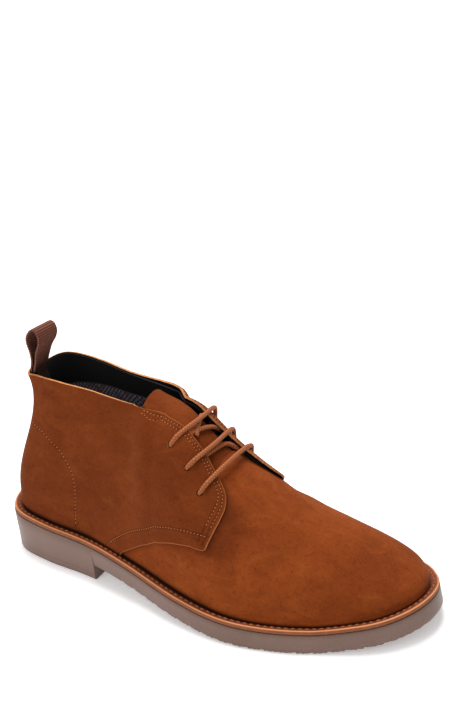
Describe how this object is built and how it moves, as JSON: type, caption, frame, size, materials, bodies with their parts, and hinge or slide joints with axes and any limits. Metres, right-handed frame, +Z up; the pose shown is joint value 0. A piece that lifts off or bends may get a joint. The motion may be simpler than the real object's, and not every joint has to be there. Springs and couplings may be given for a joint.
{
  "type": "chukka boot",
  "caption": "Low lace-up suede ankle boot for the right foot, open front quarters over a plain vamp, stitched welt and flat moulded rubber sole with a low heel.",
  "frame": {"origin": "middle of the heel's flat rest on the floor", "axes": "+X to the toe along the sole, +Y to the inner side of the foot, +Z up"},
  "size_m": [0.3036, 0.1148, 0.1573],
  "materials": {
    "rubber": "matt moulded",
    "welt_leather": "smooth, waxed edge",
    "insole_board": "dark lining",
    "suede": "brushed suede",
    "tongue_suede": "brushed suede",
    "cord": "waxed round cord",
    "webbing": "ribbed webbing"
  },
  "bodies": {
    "root": {"outsole": "rubber", "welt": "welt_leather", "insole": "insole_board", "upper": "suede", "tongue": "tongue_suede", "lace": "cord", "pull_loop": "webbing"}
  },
  "joints": []
}
